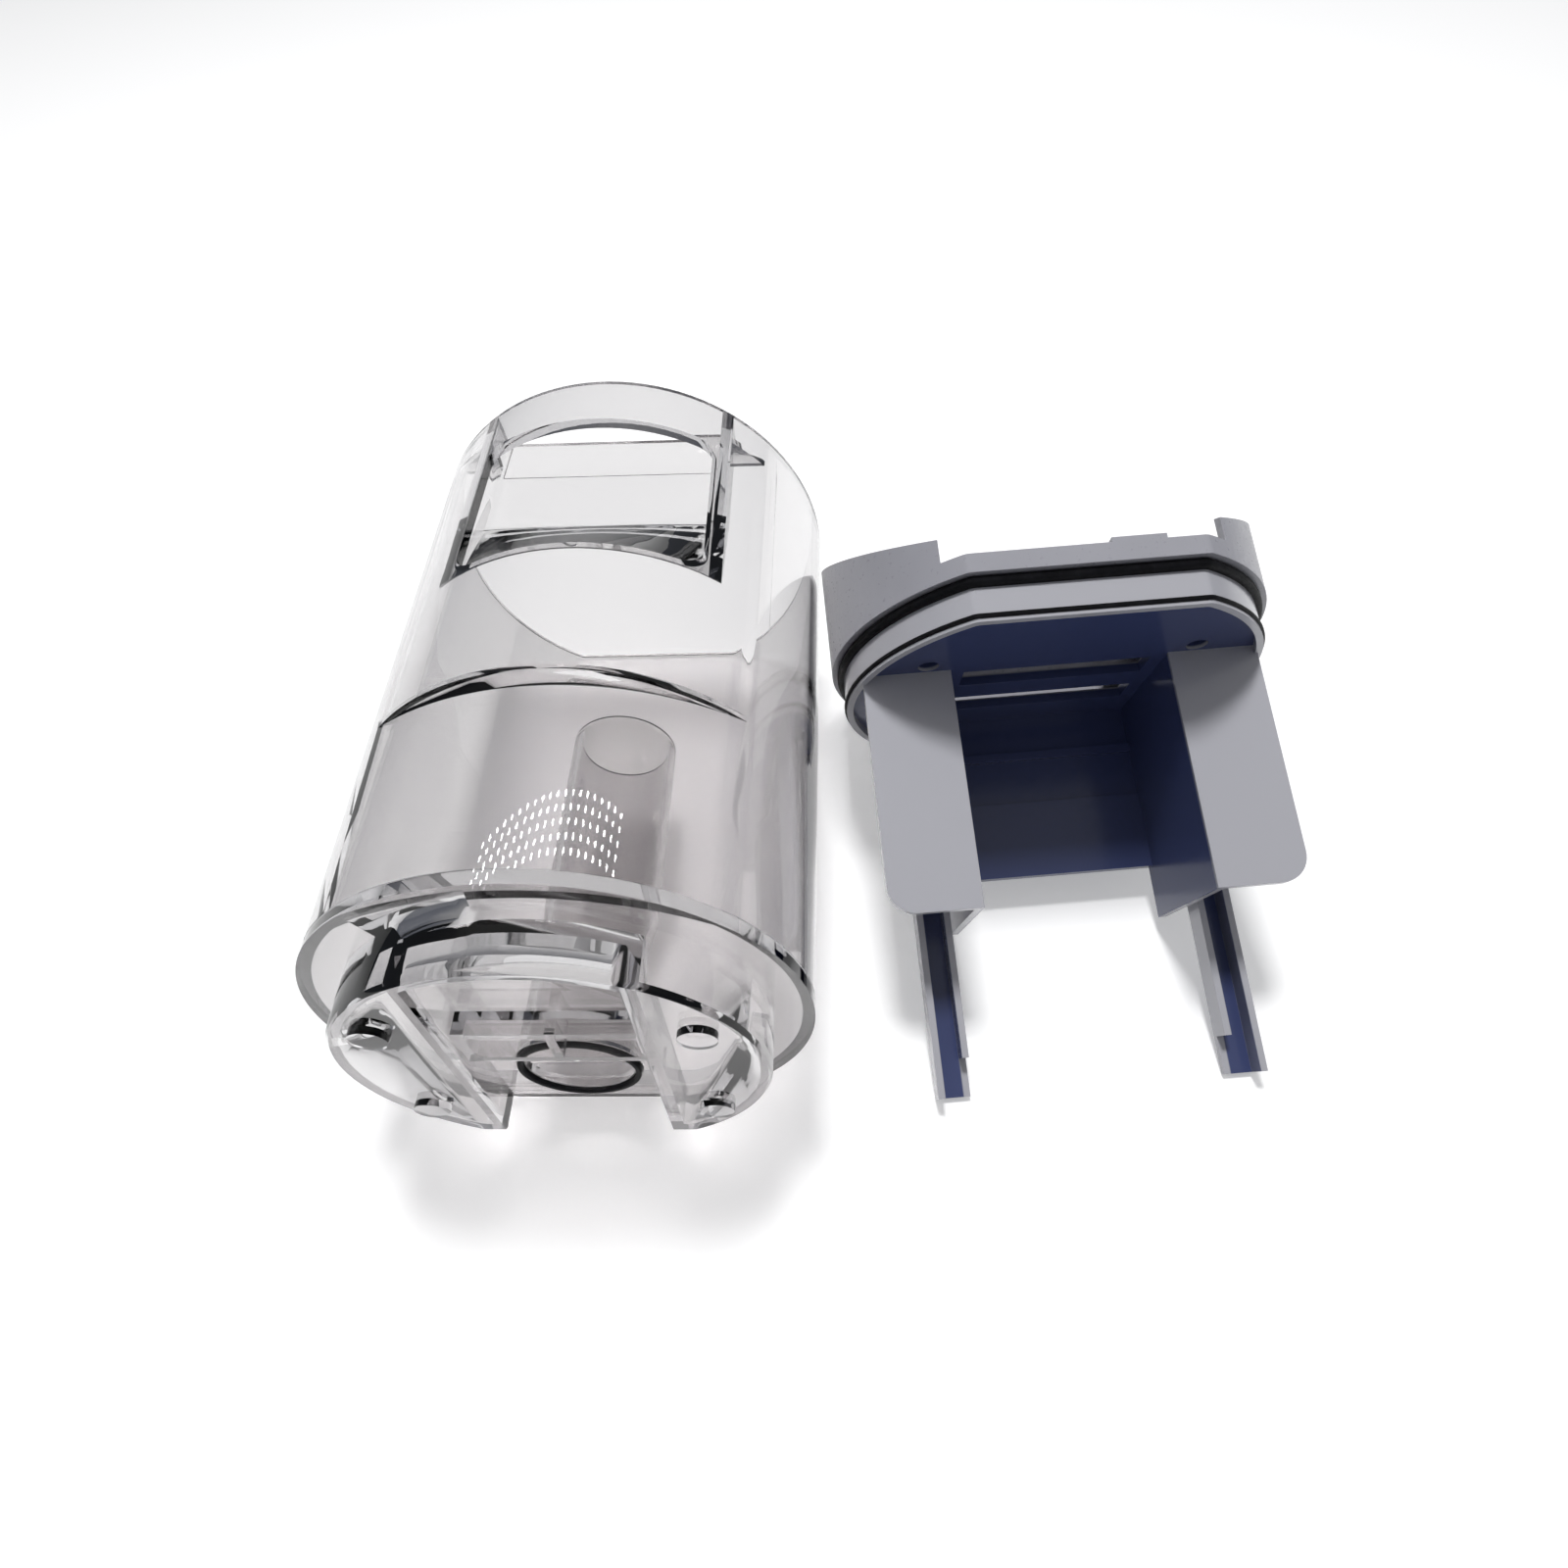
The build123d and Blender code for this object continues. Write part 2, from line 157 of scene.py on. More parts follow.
class LidSettings(bpy.types.PropertyGroup):
    """Place, sizes and colours of the lid insert."""

    place: point("Place", "Middle of the plug's lower edge", (0.107, 0.0121, 0.04526))
    lean: angle("Lean", "Lean of the lid's axis", 0.34892)
    turn: angle("Turn", "Turn about the vertical", radians(5.0))
    cover_colour: colour("Cover colour", "Colour of the skirt", (0.34, 0.34, 0.375))
    base_colour: colour("Base colour", "Colour of the plug band and wings", (0.41, 0.41, 0.445))
    # Navy painted shade for the baffle's channel, underside, screw wells and leg grooves, which are all the
    # same grey plastic lying in shade.
    painted_shade_colour: colour("Painted shade colour", "Colour inside the baffle", (0.046, 0.060, 0.150))
    rubber_colour: colour("Rubber colour", "Colour of the seals", (0.004, 0.004, 0.005))
    screw_colour: colour("Screw colour", "Colour of the zinc plating", (0.42, 0.43, 0.45))
    edge_round: length("Edge round", "Rounding of the mouldings' edges", 0.00035)
    seal_round: length("Seal round", "Rounding of the thick seal's edges", 0.0008)
    lip_round: length("Lip round", "Rounding of the thin lip's edges", 0.0003)
    # The spans from channel side to groove face bound where the navy shade is painted.
    channel_side: pair("Channel side", "Across: the deep channel's edge at the webs", (0.0256, 0.0259))
    channel_face: pair("Channel face", "To the flat: its edge short of the wings' face", (0.0130, 0.0141))
    channel_top: pair("Channel top", "Down: its start above the plug's edge", (-0.0045, -0.0040))
    plate_facing: pair("Plate facing", "Cosine at which a face is the deep underside", (0.5, 0.8))
    plate_level: pair("Plate level", "Down: the underside's edge", (-0.0010, -0.0006))
    well_radius: pair("Well radius", "Edge of the deep wells round the screws", (0.0029, 0.0031))
    well_level: pair("Well level", "Down: the wells' edge", (-0.0030, -0.0024))
    groove_inner: pair("Groove inner", "Across: start of the legs' deep grooves", (0.0308, 0.0311))
    groove_outer: pair("Groove outer", "Across: end of the legs' deep grooves", (0.0357, 0.0360))
    groove_top: pair("Groove top", "Down: start of the grooves", (-0.0015, -0.0005))
    groove_face: pair("Groove face", "To the flat: end of the grooves", (0.0020, 0.0030))
    screw_across: length("Screw spacing", "Distance between the two screws", 0.062)
    screw_offset: length("Screw offset", "Offset of the screws towards the flat side", 0.0172)
    head_radius: length("Head radius", "Radius of the screw heads", 0.002)
    head_level: length("Head level", "Height of the head's face above the plug's lower edge", 0.0046)
    head_height: length("Head height", "Height of the screw heads", 0.0018)
    head_ring: length("Head ring", "Height of the ring of points on the head's side", 0.001)
    dome_height: length("Dome height", "Height of the head's dome", 0.0005)
    dome_steps: whole("Dome steps", "Rings of points on the dome", 8, low=2)
    shank_radius: length("Shank radius", "Radius of the screws", 0.0011)
    shank_end: length("Shank end", "Height of the screws' tips above the plug's lower edge", 0.0114)
    tip_length: length("Tip length", "Length of the screws' tapered tips", 0.001)
    tip_share: amount("Tip share", "Share of the shank's radius left at the tip", 0.35)
    screw_steps: whole("Screw steps", "Points round a screw", 48, low=8)


class StageSettings(bpy.types.PropertyGroup):
    """Floor, light and camera."""

    floor_size: length("Floor size", "Side of the floor", 8.0)
    floor_gap: length("Floor gap", "Hair gap that keeps the clear back off the floor", 0.0003)
    floor_colour: colour("Floor colour", "Colour of the floor", (0.80, 0.80, 0.80))
    floor_lift: amount("Floor lift", "White added for the background", 0.34)
    sky: amount("Sky", "Strength of the soft sky overhead", 0.42)
    sky_fade: pair("Sky fade", "Upward share of a direction, from horizon to sky", (0.35, 0.85))
    horizon: colour("Horizon", "Colour of the dark room round the table", (0.15, 0.16, 0.185))
    backdrop: colour("Backdrop", "Colour seen behind the floor", (0.86, 0.86, 0.86))
    lamp_power: amount("Lamp power", "Power of the soft lamp in watts", 11.0)
    lamp_size: length("Lamp size", "Side of the soft lamp", 0.2)
    lamp_place: point("Lamp place", "Middle of the soft lamp", (0.0, 0.24, 1.2))
    strip_place: point("Strip place", "Middle of the lamp strips", (-0.115, 0.42, 0.80))
    strip_length: length("Strip length", "Length of a lamp strip", 0.675)
    strip_depth: length("Strip depth", "Distance from the first strip to the last", 0.072)
    strip_rows: whole("Strip rows", "Number of strips", 5)
    strip_count: whole("Strip count", "Lamps on a strip", 20)
    strip_glow: amount("Strip glow", "Brightness of the strips in reflections", 55.0)
    bulb_radius: length("Bulb radius", "Radius of a strip's lamps", 0.0045)
    bulb_sides: whole("Bulb sides", "Corners of a strip's lamps", 10, low=3)
    light_bounces: whole("Light bounces", "Clear walls that light may cross", 32, low=8)
    camera_place: point("Camera place", "Where the camera stands", (0.05269, -0.15454, 0.22930))
    camera_forward: point("Camera forward", "Viewing direction", (-0.0423, 0.6037, -0.7961))
    camera_up: point("Camera up", "Upward direction in the picture", (0.0136, 0.7971, 0.6037))
    lens: amount("Lens", "Focal length in millimetres", 22.905, low=1.0)
    sensor_width: amount("Sensor width", "Width of the sensor in millimetres", 36.0, low=1.0)
    clip_start: length("Clip start", "Nearest distance that the camera sees", 0.01)


def settings():
    """The settings kept with the scene."""
    return bpy.context.scene.tank_looks


def lid_frame(lid):
    """The lid's own frame as a matrix: x across, y towards its flat side, z towards its legs."""
    across = Vector((cos(lid.turn), sin(lid.turn), 0.0))
    down = Vector((sin(lid.turn) * cos(lid.lean), -cos(lid.turn) * cos(lid.lean), -sin(lid.lean)))
    flat = down.cross(across)
    turn = Matrix((across, flat, down)).transposed()
    return Matrix.Translation(Vector(lid.place)) @ turn.to_4x4()


def grid_faces(rows, columns, wrap_rows=False):
    """Quads of a grid of points whose columns close on themselves, rows as asked."""
    row = np.arange(rows if wrap_rows else rows - 1)
    column = np.arange(columns)
    i, j = np.meshgrid(row, column, indexing="ij")
    after_i = (i + 1) % rows
    after_j = (j + 1) % columns
    corners = (i * columns + j, i * columns + after_j, after_i * columns + after_j, after_i * columns + j)
    return np.stack(corners, axis=-1).reshape(-1, 4)


def circle(steps):
    """Equal angles once round."""
    return np.linspace(0.0, 2 * pi, steps, endpoint=False)


def even_normals(piece):
    """Lets the large faces set the normals, so that they shade flat beside rounded edges."""
    smooth = piece.modifiers.new("even_normals", "WEIGHTED_NORMAL")
    smooth.keep_sharp = True


def smooth_object(name, mesh, sharp_angle):
    """A smooth object at the origin whose steep edges stay sharp."""
    mesh.polygons.foreach_set("use_smooth", np.ones(len(mesh.polygons), bool))
    mesh.set_sharp_from_angle(angle=sharp_angle)
    piece = bpy.data.objects.new(name, mesh)
    bpy.context.scene.collection.objects.link(piece)
    return piece


def new_piece(name, points, faces, material, node):
    """A mesh object from points and faces that stands for a CAD node."""
    mesh = bpy.data.meshes.new(name)
    mesh.from_pydata(points.tolist(), [], faces.tolist())
    mesh.validate()
    piece = smooth_object(name, mesh, MOULDED_SHARP)
    even_normals(piece)
    dress(piece, material, node)


def dress(piece, material, node):
    """Gives a piece its material and its place on the part."""
    piece.data.materials.clear()
    piece.data.materials.append(material)
    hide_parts(node)
    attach(piece, "root")


def close_pocket_lip(work, tank):
    """Draws the handle pocket's floor out to the wall at its lip, which closes the slit there to a hair.

    Each face of the floor is ruled from an arc at the lip to a straight bend. The arc's radius grows until
    a share of its distance from the wall is left, and a point moves less the nearer it lies to the bend.
    """
    level = tank.base_level + tank.lip_level
    run = tank.bend_level - tank.lip_level
    inner = tank.base_radius + tank.draft * tank.lip_level / tank.body_length - tank.wall

    def at_lip(vertex):
        height = vertex.co.z - tank.axis_height
        on_front = height > 0.0 and abs(vertex.co.y - level) < ON_LEVEL
        return on_front and tank.lip_radius - ON_SURFACE < hypot(vertex.co.x, height) < inner + ON_SURFACE

    edge_faces = [face for face in work.faces if all(map(at_lip, face.verts))]
    bmesh.ops.dissolve_faces(work, faces=edge_faces)
    for vertex in work.verts:
        x = vertex.co.x
        along = (vertex.co.y - level) / run
        if abs(x) > tank.lip_half_width + ON_SURFACE or not -LIP_SLACK < along < 1.0:
            continue
        for radius, depth in ((tank.lip_radius, tank.wall), (tank.lip_radius + tank.wall, 0.0)):
            arc = sqrt(radius**2 - x**2)
            ruled = tank.axis_height + (1 - along) * arc + along * (tank.pocket_back - depth)
            if abs(vertex.co.z - ruled) < ON_FLOOR:
                drawn = inner - tank.lip_share * (inner - radius)
                vertex.co.z += (1 - along) * (sqrt(drawn**2 - x**2) - arc)
                break


def merged_copy(node, name, sharp_angle, reshape=None):
    """A copy of a CAD node with its triangles merged, reshaped where asked, and its flat faces joined."""
    mesh = bpy.data.meshes.new(name)
    work = bmesh.new()
    work.from_mesh(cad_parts[node].data)
    bmesh.ops.remove_doubles(work, verts=work.verts, dist=MERGE_DISTANCE)
    if reshape:
        reshape(work)
    bmesh.ops.dissolve_limit(work, angle_limit=FLAT_ANGLE, verts=work.verts, edges=work.edges)
    work.to_mesh(mesh)
    work.free()
    return smooth_object(name, mesh, sharp_angle)


def soften_edges(piece, width, segments=2):
    """Rounds the sharp edges of a moulding."""
    bevel = piece.modifiers.new("edge_round", "BEVEL")
    bevel.width = width
    bevel.segments = segments
    bevel.limit_method = "ANGLE"
    bevel.angle_limit = BEVEL_FROM
    even_normals(piece)


def read_rows(elements, key, width=3, kind=np.float32):
    """One attribute of a mesh's elements, a row for each."""
    values = np.zeros(len(elements) * width, kind)
    elements.foreach_get(key, values)
    return values.reshape(-1, width)


def true_tube_normals(piece, tank):
    """Sets the normals of the drafted tube and of its grip panel from their formula.

    A normal points straight out from the surface's own axis and leans by the draft.
    """
    mesh = piece.data
    corner_vertex = read_rows(mesh.loops, "vertex_index", 1, np.int32)[:, 0]
    places = read_rows(mesh.vertices, "co")[corner_vertex].astype(float)
    totals = read_rows(mesh.polygons, "loop_total", 1, np.int32)[:, 0]
    flat = np.repeat(read_rows(mesh.polygons, "normal").astype(float), totals, axis=0)
    normals = read_rows(mesh.corner_normals, "vector").astype(float)
    panel_height = tank.axis_height + tank.base_radius - tank.panel_depth - tank.panel_radius
    for height, radius, draft in (
        (tank.axis_height, tank.base_radius, tank.draft),
        (panel_height, tank.panel_radius, 0.0),
    ):
        out = places - np.array([0.0, 0.0, height])
        out[:, 1] = 0.0
        reach = np.linalg.norm(out, axis=1)
        out /= np.maximum(reach, TINY)[:, None]
        outer = radius + draft * (places[:, 1] - tank.base_level) / tank.body_length
        facing = np.einsum("ij,ij->i", flat, out)
        on_outer = (np.abs(reach - outer) < ON_SURFACE) & (facing > SAME_WAY)
        on_inner = (np.abs(reach - outer + tank.wall) < ON_SURFACE) & (facing < -SAME_WAY)
        true = out - np.array([0.0, draft / tank.body_length, 0.0])
        true /= np.linalg.norm(true, axis=1)[:, None]
        normals = np.where(on_outer[:, None], true, np.where(on_inner[:, None], -true, normals))
    mesh.normals_split_custom_set(normals.tolist())


def turned(profile, inlet, name, material, node):
    """A body of revolution about the port's axis, along Y.

    Point (a, r) of a closed profile gives (r cos t, port level + a, port height + r sin t), t once round.
    """
    round_angle = circle(inlet.round_steps)
    along = np.broadcast_to(profile[:, :1], (len(profile), inlet.round_steps))
    x = profile[:, 1:] * np.cos(round_angle)
    z = inlet.port_height + profile[:, 1:] * np.sin(round_angle)
    points = np.stack((x, inlet.port_level + along, z), axis=-1).reshape(-1, 3)
    faces = grid_faces(len(profile), inlet.round_steps, wrap_rows=True)
    new_piece(name, points, faces, material, node)


def rounded_profile(corners, radii, steps=8):
    """A closed outline whose corners are rounded.

    Each corner c becomes (1 - t)^2 s + 2 t (1 - t) c + t^2 e, from s before it to e after it.
    """
    corners = np.asarray(corners, float)
    before = np.roll(corners, 1, axis=0) - corners
    after = np.roll(corners, -1, axis=0) - corners
    before /= np.linalg.norm(before, axis=1)[:, None]
    after /= np.linalg.norm(after, axis=1)[:, None]
    t = np.linspace(0.0, 1.0, steps)[None, :, None]
    r = np.asarray(radii, float)[:, None, None]
    start = corners[:, None] + r * before[:, None]
    end = corners[:, None] + r * after[:, None]
    points = (1 - t) ** 2 * start + 2 * t * (1 - t) * corners[:, None] + t**2 * end
    return points.reshape(-1, 2)


def screw_profile(lid):
    """Radii and heights of a screw's outline, from the top of its head to its tip.

    The dome has radius R sin t and height h (1 - cos t) above the head's face, t from 0 to a quarter turn.
    """
    head, shank = lid.head_radius, lid.shank_radius
    low, high, end = lid.head_level, lid.head_level + lid.head_height, lid.shank_end
    t = np.linspace(0.0, pi / 2, lid.dome_steps)
    side_radius = [head, head, shank, shank, lid.tip_share * shank, 0.0]
    side_level = [low + lid.head_ring, high, high, end - lid.tip_length, end, end]
    radius = np.concatenate((head * np.sin(t), side_radius))
    level = np.concatenate((low + lid.dome_height * (1 - np.cos(t)), side_level))
    return radius[:, None], level[:, None]


def opaque(values):
    """A colour with full alpha."""
    return (*values, 1.0)


class Nodes:
    """A small helper that adds and links the shader nodes of one material or world."""

    def __init__(self, owner, output="ShaderNodeOutputMaterial"):
        owner.use_nodes = True
        self.owner = owner
        self.tree = owner.node_tree
        self.tree.nodes.clear()
        self.output = self.add(output)

    def add(self, kind, **values):
        node = self.tree.nodes.new(kind)
        for key, value in values.items():
            setattr(node, key, value)
        return node

    def link(self, source, target):
        self.tree.links.new(source, target)

    def principled(self, base, roughness, **sockets):
        shader = self.add("ShaderNodeBsdfPrincipled")
        shader.inputs["Base Color"].default_value = opaque(base)
        shader.inputs["Roughness"].default_value = roughness
        for key, value in sockets.items():
            shader.inputs[key.replace("_", " ")].default_value = value
        return shader

    def place(self):
        return self.add("ShaderNodeTexCoord").outputs["Object"]

    def noise(self, scale, detail=2.0):
        node = self.add("ShaderNodeTexNoise")
        node.inputs["Scale"].default_value = scale
        node.inputs["Detail"].default_value = detail
        self.link(self.place(), node.inputs["Vector"])
        return node.outputs["Fac"]

    def span(self, value, source, target, smooth=False):
        node = self.add("ShaderNodeMapRange")
        if smooth:
            node.interpolation_type = "SMOOTHSTEP"
        self.link(value, node.inputs["Value"])
        for key, number in zip(("From Min", "From Max", "To Min", "To Max"), (*source, *target)):
            node.inputs[key].default_value = number
        return node.outputs["Result"]

    def rising(self, value, fade):
        return self.span(value, fade, (0.0, 1.0))

    def falling(self, value, fade):
        return self.span(value, fade, (1.0, 0.0))

    def math(self, operation, first, second):
        node = self.add("ShaderNodeMath", operation=operation)
        for socket, value in zip(node.inputs, (first, second)):
            if isinstance(value, (int, float)):
                socket.default_value = value
            else:
                self.link(value, socket)
        return node.outputs[0]

    def fold(self, operation, first, *others):
        for other in others:
            first = self.math(operation, first, other)
        return first

    def blend(self, factor, first, second):
        node = self.add("ShaderNodeMix", data_type="RGBA")
        self.link(factor, node.inputs["Factor"])
        for socket, value in ((node.inputs[6], first), (node.inputs[7], second)):
            if isinstance(value, tuple):
                socket.default_value = value
            else:
                self.link(value, socket)
        return node.outputs[2]

    def roughen(self, shader, target, scale, detail=2.0, source=(0.3, 0.7)):
        self.link(self.span(self.noise(scale, detail), source, target), shader.inputs["Roughness"])

    def bump(self, shader, scale, strength, distance):
        node = self.add("ShaderNodeBump")
        node.inputs["Strength"].default_value = strength
        node.inputs["Distance"].default_value = distance
        self.link(self.noise(scale), node.inputs["Height"])
        self.link(node.outputs["Normal"], shader.inputs["Normal"])

    def finish(self, shader):
        self.link(shader.outputs[0], self.output.inputs["Surface"])
        return self.owner


def new_material(name):
    """The nodes of a new material."""
    return Nodes(bpy.data.materials.new(name))


def clear_plastic(name, tank, index, density):
    """Clear smoky plastic that darkens with depth and lets the lamps through, with faint handling haze."""
    nodes = new_material(name)
    shader = nodes.principled(tank.tint, 0.02, Transmission_Weight=1.0, IOR=index)
    nodes.roughen(shader, (0.0, 0.008), scale=140.0, detail=4.0, source=(0.45, 0.75))
    nodes.bump(shader, scale=25.0, strength=0.012, distance=0.0004)
    through = nodes.add("ShaderNodeBsdfTransparent")
    through.inputs["Color"].default_value = opaque(tank.shade_tint)
    mix = nodes.add("ShaderNodeMixShader")
    nodes.link(nodes.add("ShaderNodeLightPath").outputs["Is Shadow Ray"], mix.inputs["Fac"])
    nodes.link(shader.outputs[0], mix.inputs[1])
    nodes.link(through.outputs[0], mix.inputs[2])
    depth = nodes.add("ShaderNodeVolumeAbsorption")
    depth.inputs["Color"].default_value = opaque(tank.depth_tint)
    depth.inputs["Density"].default_value = density
    nodes.link(depth.outputs[0], nodes.output.inputs["Volume"])
    return nodes.finish(mix)


def moulded_grey(name, base, darkening=0.93):
    """Satin moulded plastic with a fine spark-eroded grain and slight shade variation."""
    nodes = new_material(name)
    shader = nodes.principled(base, 0.32, Specular_IOR_Level=0.5)
    shade = nodes.rising(nodes.noise(scale=35.0, detail=3.0), (0.3, 0.7))
    darker = opaque(darkening * value for value in base)
    nodes.link(nodes.blend(shade, darker, opaque(base)), shader.inputs["Base Color"])
    nodes.roughen(shader, (0.26, 0.40), scale=900.0)
    nodes.bump(shader, scale=2600.0, strength=0.12, distance=0.0001)
    return nodes.finish(shader)


def painted_shade_zones(nodes, lid):
    """A mask of the lid insert's zones that get painted navy shade, in the lid's own frame."""
    own = nodes.add("ShaderNodeMapping", vector_type="TEXTURE")
    own.inputs["Location"].default_value = lid.place
    own.inputs["Rotation"].default_value = lid_frame(lid).to_euler("XYZ")
    nodes.link(nodes.place(), own.inputs["Vector"])
    parts = nodes.add("ShaderNodeSeparateXYZ")
    nodes.link(own.outputs["Vector"], parts.inputs["Vector"])
    across = nodes.math("ABSOLUTE", parts.outputs["X"], 0.0)
    towards_flat, down = parts.outputs["Y"], parts.outputs["Z"]
    # painted shade between the webs, below the plug and short of the wings' face
    channel = nodes.fold(
        "MULTIPLY",
        nodes.falling(across, lid.channel_side),
        nodes.falling(towards_flat, lid.channel_face),
        nodes.rising(down, lid.channel_top),
    )
    # painted shade on the underside plate: faces towards the legs, inside the plug's lower edge
    facing = nodes.add("ShaderNodeVectorMath", operation="DOT_PRODUCT")
    nodes.link(nodes.add("ShaderNodeNewGeometry").outputs["Normal"], facing.inputs[0])
    facing.inputs[1].default_value = lid_frame(lid).to_3x3() @ Vector((0.0, 0.0, 1.0))
    plate = nodes.fold(
        "MULTIPLY",
        nodes.rising(facing.outputs["Value"], lid.plate_facing),
        nodes.falling(down, lid.plate_level),
    )
    # painted shade in the wells round the screws' axes
    beside = nodes.math("SUBTRACT", across, 0.5 * lid.screw_across)
    along = nodes.math("SUBTRACT", towards_flat, lid.screw_offset)
    squares = nodes.math("ADD", nodes.math("POWER", beside, 2.0), nodes.math("POWER", along, 2.0))
    wells = nodes.fold(
        "MULTIPLY",
        nodes.falling(nodes.math("SQRT", squares, 0.0), lid.well_radius),
        nodes.falling(down, lid.well_level),
    )
    # painted shade in the grooves of the rail legs
    groove = nodes.fold(
        "MULTIPLY",
        nodes.rising(across, lid.groove_inner),
        nodes.falling(across, lid.groove_outer),
        nodes.rising(down, lid.groove_top),
        nodes.falling(towards_flat, lid.groove_face),
    )
    return nodes.fold("MAXIMUM", channel, plate, wells, groove)


def baffle_plastic(lid):
    """Glossy grey plastic with navy shade painted between the baffle's webs, under the plug, round the
    screws and in the legs' grooves.
    """
    nodes = new_material("moulded_baffle")
    shader = nodes.principled(lid.base_colour, 0.2, Specular_IOR_Level=0.5)
    # The base grey blends into the navy painted shade inside the masked zones.
    shades = opaque(lid.base_colour), opaque(lid.painted_shade_colour)
    nodes.link(nodes.blend(painted_shade_zones(nodes, lid), *shades), shader.inputs["Base Color"])
    nodes.roughen(shader, (0.14, 0.24), scale=500.0)
    nodes.bump(shader, scale=180.0, strength=0.03, distance=0.0003)
    return nodes.finish(shader)


def rubber(lid, brightening=2.2):
    """Matt black rubber with a fine dusty grain, made once."""
    name = "seal_rubber"
    if name in bpy.data.materials:
        return bpy.data.materials[name]
    nodes = new_material(name)
    shader = nodes.principled(lid.rubber_colour, 0.6, Specular_IOR_Level=0.15)
    dust = nodes.rising(nodes.noise(scale=420.0, detail=4.0), (0.45, 0.8))
    dusty = opaque(brightening * value for value in lid.rubber_colour)
    nodes.link(nodes.blend(dust, opaque(lid.rubber_colour), dusty), shader.inputs["Base Color"])
    nodes.roughen(shader, (0.5, 0.68), scale=1500.0)
    nodes.bump(shader, scale=2200.0, strength=0.2, distance=0.0001)
    return nodes.finish(shader)


def zinc(lid):
    """Zinc plated steel with a mottled sheen."""
    nodes = new_material("zinc_plated")
    shader = nodes.principled(lid.screw_colour, 0.3, Metallic=1.0)
    nodes.roughen(shader, (0.22, 0.42), scale=1800.0, detail=3.0)
    return nodes.finish(shader)


class TANK_OT_shell(bpy.types.Operator):
    """Makes the clear tank body and the clear tank base"""

    bl_idname = "tank.shell"
    bl_label = "Clear tank"

    def execute(self, context):
        tank = settings().tank
        plastic = clear_plastic("smoky_clear_plastic", tank, tank.ior, tank.depth_density)
        body = merged_copy("tank_body", "tank_shell", CLEAR_SHARP, lambda work: close_pocket_lip(work, tank))
        true_tube_normals(body, tank)
        dress(body, plastic, "tank_body")
        base = merged_copy("tank_base", "tank_foot", CLEAR_SHARP)
        shrink = base.modifiers.new("weld_gap", "DISPLACE")
        shrink.strength = -tank.weld_gap
        shrink.mid_level = 0.0
        base_plastic = clear_plastic("clear_base_plastic", tank, tank.ior, tank.base_density)
        dress(base, base_plastic, "tank_base")
        return {"FINISHED"}


class TANK_OT_inlet(bpy.types.Operator):
    """Makes the riser pipe and the port's seal as bodies of revolution"""

    bl_idname = "tank.inlet"
    bl_label = "Inlet pipe and seal"

    def execute(self, context):
        looks = settings()
        tank, inlet = looks.tank, looks.inlet
        bore = inlet.bore_radius
        outer = bore + inlet.pipe_wall - tank.weld_gap
        corners = ((0.0, bore), (inlet.rise, bore), (inlet.rise, outer), (0.0, outer))
        radii = (inlet.foot_round, inlet.end_round, inlet.end_round, inlet.foot_round)
        plastic = clear_plastic("clear_riser_plastic", tank, tank.pipe_ior, tank.base_density)
        profile = rounded_profile(corners, radii)
        turned(profile, inlet, "riser_pipe", plastic, "inlet_duct")
        near = bore + inlet.seal_gap
        far = bore + inlet.seal_width
        corners = ((0.0, near), (0.0, far), (-inlet.seal_height, far), (-inlet.seal_height, near))
        radii = (inlet.seal_foot_round, inlet.seal_foot_round, inlet.seal_face_round, inlet.seal_face_round)
        profile = rounded_profile(corners, radii)
        turned(profile, inlet, "port_ring", rubber(looks.lid), "inlet_seal")
        return {"FINISHED"}


class TANK_OT_lid(bpy.types.Operator):
    """Makes the two lid mouldings, with rounded edges"""

    bl_idname = "tank.lid"
    bl_label = "Lid mouldings"

    def execute(self, context):
        lid = settings().lid
        cover = merged_copy("lid_cover", "lid_skirt", MOULDED_SHARP)
        soften_edges(cover, lid.edge_round)
        dress(cover, moulded_grey("moulded_skirt", lid.cover_colour), "lid_cover")
        insert = merged_copy("lid_base", "lid_insert", MOULDED_SHARP)
        soften_edges(insert, lid.edge_round)
        dress(insert, baffle_plastic(lid), "lid_base")
        return {"FINISHED"}


class TANK_OT_seals(bpy.types.Operator):
    """Makes the lid's thick seal and its thin lip, with rounded edges"""

    bl_idname = "tank.seals"
    bl_label = "Lid seals"

    def execute(self, context):
        lid = settings().lid
        rings = (("lid_seal", "thick_seal", lid.seal_round), ("plug_seal", "thin_lip", lid.lip_round))
        for node, name, width in rings:
            seal = merged_copy(node, name, MOULDED_SHARP)
            soften_edges(seal, width, segments=3)
            dress(seal, rubber(lid), node)
        return {"FINISHED"}


class TANK_OT_screws(bpy.types.Operator):
    """Makes the two sunk screws with domed heads, as bodies of revolution about the lid's axis"""

    bl_idname = "tank.screws"
    bl_label = "Screws"

    def execute(self, context):
        lid = settings().lid
        radius, level = screw_profile(lid)
        round_angle = circle(lid.screw_steps)
        x = radius * np.cos(round_angle)
        y = lid.screw_offset + radius * np.sin(round_angle)
        z = np.broadcast_to(-level, x.shape)
        faces = grid_faces(len(radius), lid.screw_steps)[:, ::-1]
        own = np.array(lid_frame(lid))
        pieces = []
        for side in (-0.5, 0.5):
            local = np.stack((x + side * lid.screw_across, y, z), axis=-1).reshape(-1, 3)
            pieces.append(local @ own[:3, :3].T + own[:3, 3])
        points = np.concatenate(pieces)
        faces = np.concatenate((faces, faces + len(pieces[0])))
        new_piece("sunk_screws", points, faces, zinc(lid), "lid_screws")
        return {"FINISHED"}


